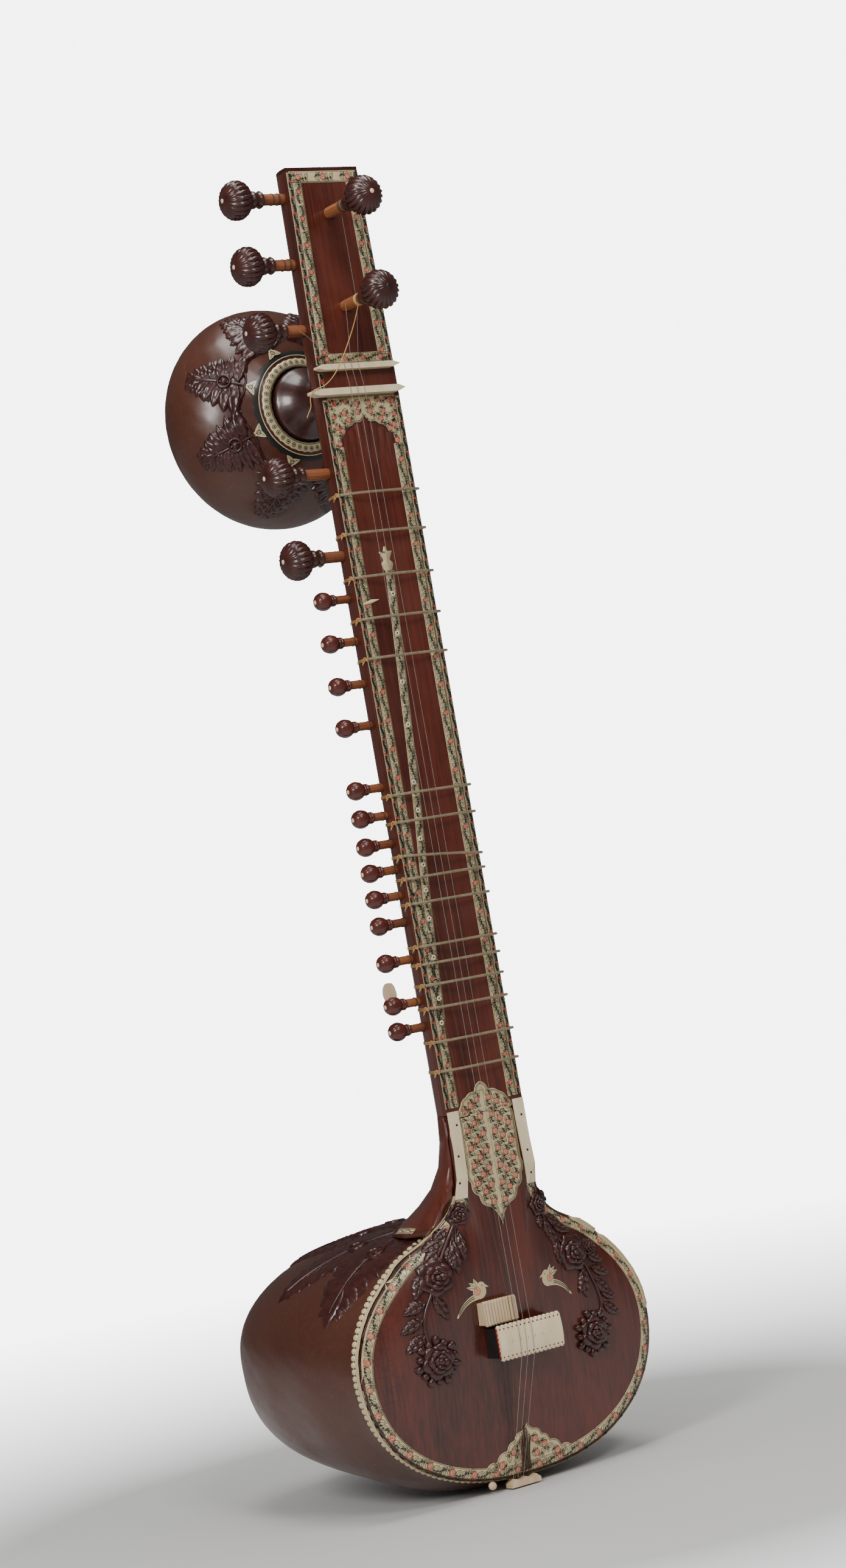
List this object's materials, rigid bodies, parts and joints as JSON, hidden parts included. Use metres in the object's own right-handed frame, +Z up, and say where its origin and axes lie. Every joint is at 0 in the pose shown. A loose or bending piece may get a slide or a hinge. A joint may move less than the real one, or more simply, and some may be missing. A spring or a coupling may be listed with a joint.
{
  "type": "sitar",
  "caption": "Sitar with a large gourd, an upper gourd, arched soundboard, movable frets, turning pegs, bridges and taut main strings.",
  "frame": {"origin": "Centre of the flat rest on the underside of the large gourd, at z = 0, on the symmetry plane of the soundboard", "axes": "+Z up along the neck, the face and strings look toward -Y, +X is to the right seen from the front; the side pegs stand out toward -X"},
  "size_m": [0.376, 0.4106, 1.273],
  "materials": {
    "red_wood": "glossy varnish",
    "gourd_skin": "satin varnish",
    "dark_wood": "glossy",
    "peg_wood": "glossy",
    "ebony": "satin black",
    "bone": "polished bone",
    "pale_wood": "bare",
    "brass": "drawn, dulled",
    "steel": "drawn wire"
  },
  "bodies": {
    "frame": {"gourd_bowl": "gourd_skin", "soundboard": "red_wood", "neck_trough": "red_wood", "neck_faceplate": "red_wood", "pegbox_panel": "red_wood", "neck_end_cap": "dark_wood", "heel_block": "red_wood", "neck_tenon": "pale_wood", "upper_gourd_stud": "pale_wood", "nut": "bone", "string_guide": "bone", "main_bridge_foot": "ebony", "main_bridge_table": "bone", "small_bridge": "bone", "guard_strip_left": "bone", "guard_strip_right": "bone", "tailpiece": "bone", "string_1": "steel", "string_2": "steel", "string_3": "steel", "string_4": "steel", "string_5": "steel"},
    "upper_gourd": {"upper_gourd": "gourd_skin", "upper_gourd_collar": "dark_wood"},
    "peg_side_1": {"peg_side_1": "peg_wood"},
    "peg_side_2": {"peg_side_2": "peg_wood"},
    "peg_side_3": {"peg_side_3": "peg_wood"},
    "peg_side_4": {"peg_side_4": "peg_wood"},
    "peg_side_5": {"peg_side_5": "peg_wood"},
    "peg_front_1": {"peg_front_1": "peg_wood"},
    "peg_front_2": {"peg_front_2": "peg_wood"},
    "peg_tarab_1": {"peg_tarab_1": "peg_wood"},
    "peg_tarab_2": {"peg_tarab_2": "peg_wood"},
    "peg_tarab_3": {"peg_tarab_3": "peg_wood"},
    "peg_tarab_4": {"peg_tarab_4": "peg_wood"},
    "peg_tarab_5": {"peg_tarab_5": "peg_wood"},
    "peg_tarab_6": {"peg_tarab_6": "peg_wood"},
    "peg_tarab_7": {"peg_tarab_7": "peg_wood"},
    "peg_tarab_8": {"peg_tarab_8": "peg_wood"},
    "peg_tarab_9": {"peg_tarab_9": "peg_wood"},
    "peg_tarab_10": {"peg_tarab_10": "peg_wood"},
    "peg_tarab_11": {"peg_tarab_11": "peg_wood"},
    "peg_tarab_12": {"peg_tarab_12": "peg_wood"},
    "peg_tarab_13": {"peg_tarab_13": "peg_wood"},
    "fret_1": {"fret_1": "brass"},
    "fret_2": {"fret_2": "brass"},
    "fret_3": {"fret_3": "brass"},
    "fret_4": {"fret_4": "brass"},
    "fret_5": {"fret_5": "brass"},
    "fret_6": {"fret_6": "brass"},
    "fret_7": {"fret_7": "brass"},
    "fret_8": {"fret_8": "brass"},
    "fret_9": {"fret_9": "brass"},
    "fret_10": {"fret_10": "brass"},
    "fret_11": {"fret_11": "brass"},
    "fret_12": {"fret_12": "brass"},
    "fret_13": {"fret_13": "brass"},
    "fret_14": {"fret_14": "brass"},
    "fret_15": {"fret_15": "brass"},
    "fret_16": {"fret_16": "brass"}
  },
  "joints": [
    {"name": "upper_gourd_turn", "type": "hinge", "parent": "frame", "child": "upper_gourd", "pos_m": [0, -0.015, 1.063], "axis": [0, 1, 0], "range_deg": [0, 180]},
    {"name": "peg_side_1_turn", "type": "hinge", "parent": "frame", "child": "peg_side_1", "pos_m": [-0.06, -0.071, 1.246], "axis": [1, 0, 0], "continuous": true},
    {"name": "peg_side_2_turn", "type": "hinge", "parent": "frame", "child": "peg_side_2", "pos_m": [-0.06, -0.071, 1.182], "axis": [1, 0, 0], "continuous": true},
    {"name": "peg_side_3_turn", "type": "hinge", "parent": "frame", "child": "peg_side_3", "pos_m": [-0.06, -0.071, 1.118], "axis": [1, 0, 0], "continuous": true},
    {"name": "peg_side_4_turn", "type": "hinge", "parent": "frame", "child": "peg_side_4", "pos_m": [-0.06, -0.071, 0.979], "axis": [1, 0, 0], "continuous": true},
    {"name": "peg_side_5_turn", "type": "hinge", "parent": "frame", "child": "peg_side_5", "pos_m": [-0.06, -0.071, 0.899], "axis": [1, 0, 0], "continuous": true},
    {"name": "peg_front_1_turn", "type": "hinge", "parent": "frame", "child": "peg_front_1", "pos_m": [0, -0.105, 1.228], "axis": [0, 1, 0], "continuous": true},
    {"name": "peg_front_2_turn", "type": "hinge", "parent": "frame", "child": "peg_front_2", "pos_m": [0, -0.105, 1.137], "axis": [0, 1, 0], "continuous": true},
    {"name": "peg_tarab_1_turn", "type": "hinge", "parent": "frame", "child": "peg_tarab_1", "pos_m": [-0.06, -0.069, 0.858], "axis": [1, 0, 0], "continuous": true},
    {"name": "peg_tarab_2_turn", "type": "hinge", "parent": "frame", "child": "peg_tarab_2", "pos_m": [-0.06, -0.069, 0.817], "axis": [1, 0, 0], "continuous": true},
    {"name": "peg_tarab_3_turn", "type": "hinge", "parent": "frame", "child": "peg_tarab_3", "pos_m": [-0.06, -0.069, 0.776], "axis": [1, 0, 0], "continuous": true},
    {"name": "peg_tarab_4_turn", "type": "hinge", "parent": "frame", "child": "peg_tarab_4", "pos_m": [-0.06, -0.069, 0.736], "axis": [1, 0, 0], "continuous": true},
    {"name": "peg_tarab_5_turn", "type": "hinge", "parent": "frame", "child": "peg_tarab_5", "pos_m": [-0.06, -0.069, 0.676], "axis": [1, 0, 0], "continuous": true},
    {"name": "peg_tarab_6_turn", "type": "hinge", "parent": "frame", "child": "peg_tarab_6", "pos_m": [-0.06, -0.069, 0.649], "axis": [1, 0, 0], "continuous": true},
    {"name": "peg_tarab_7_turn", "type": "hinge", "parent": "frame", "child": "peg_tarab_7", "pos_m": [-0.06, -0.069, 0.622], "axis": [1, 0, 0], "continuous": true},
    {"name": "peg_tarab_8_turn", "type": "hinge", "parent": "frame", "child": "peg_tarab_8", "pos_m": [-0.06, -0.069, 0.597], "axis": [1, 0, 0], "continuous": true},
    {"name": "peg_tarab_9_turn", "type": "hinge", "parent": "frame", "child": "peg_tarab_9", "pos_m": [-0.06, -0.069, 0.572], "axis": [1, 0, 0], "continuous": true},
    {"name": "peg_tarab_10_turn", "type": "hinge", "parent": "frame", "child": "peg_tarab_10", "pos_m": [-0.06, -0.069, 0.5465], "axis": [1, 0, 0], "continuous": true},
    {"name": "peg_tarab_11_turn", "type": "hinge", "parent": "frame", "child": "peg_tarab_11", "pos_m": [-0.06, -0.069, 0.511], "axis": [1, 0, 0], "continuous": true},
    {"name": "peg_tarab_12_turn", "type": "hinge", "parent": "frame", "child": "peg_tarab_12", "pos_m": [-0.06, -0.069, 0.4705], "axis": [1, 0, 0], "continuous": true},
    {"name": "peg_tarab_13_turn", "type": "hinge", "parent": "frame", "child": "peg_tarab_13", "pos_m": [-0.06, -0.069, 0.446], "axis": [1, 0, 0], "continuous": true},
    {"name": "fret_1_slide", "type": "slide", "parent": "frame", "child": "fret_1", "axis": [0, 0, 1], "range_m": [-0.004, 0.004]},
    {"name": "fret_2_slide", "type": "slide", "parent": "frame", "child": "fret_2", "axis": [0, 0, 1], "range_m": [-0.004, 0.004]},
    {"name": "fret_3_slide", "type": "slide", "parent": "frame", "child": "fret_3", "axis": [0, 0, 1], "range_m": [-0.004, 0.004]},
    {"name": "fret_4_slide", "type": "slide", "parent": "frame", "child": "fret_4", "axis": [0, 0, 1], "range_m": [-0.004, 0.004]},
    {"name": "fret_5_slide", "type": "slide", "parent": "frame", "child": "fret_5", "axis": [0, 0, 1], "range_m": [-0.004, 0.004]},
    {"name": "fret_6_slide", "type": "slide", "parent": "frame", "child": "fret_6", "axis": [0, 0, 1], "range_m": [-0.004, 0.0038]},
    {"name": "fret_7_slide", "type": "slide", "parent": "frame", "child": "fret_7", "axis": [0, 0, 1], "range_m": [-0.004, 0.0028]},
    {"name": "fret_8_slide", "type": "slide", "parent": "frame", "child": "fret_8", "axis": [0, 0, 1], "range_m": [-0.0008, 0.004]},
    {"name": "fret_9_slide", "type": "slide", "parent": "frame", "child": "fret_9", "axis": [0, 0, 1], "range_m": [-0.004, 0.004]},
    {"name": "fret_10_slide", "type": "slide", "parent": "frame", "child": "fret_10", "axis": [0, 0, 1], "range_m": [-0.004, 0.0038]},
    {"name": "fret_11_slide", "type": "slide", "parent": "frame", "child": "fret_11", "axis": [0, 0, 1], "range_m": [-0.0038, 0.004]},
    {"name": "fret_12_slide", "type": "slide", "parent": "frame", "child": "fret_12", "axis": [0, 0, 1], "range_m": [-0.004, 0.0008]},
    {"name": "fret_13_slide", "type": "slide", "parent": "frame", "child": "fret_13", "axis": [0, 0, 1], "range_m": [-0.004, 0.004]},
    {"name": "fret_14_slide", "type": "slide", "parent": "frame", "child": "fret_14", "axis": [0, 0, 1], "range_m": [-0.004, 0.0023]},
    {"name": "fret_15_slide", "type": "slide", "parent": "frame", "child": "fret_15", "axis": [0, 0, 1], "range_m": [-0.004, 0.004]},
    {"name": "fret_16_slide", "type": "slide", "parent": "frame", "child": "fret_16", "axis": [0, 0, 1], "range_m": [-0.004, 0.004]}
  ]
}
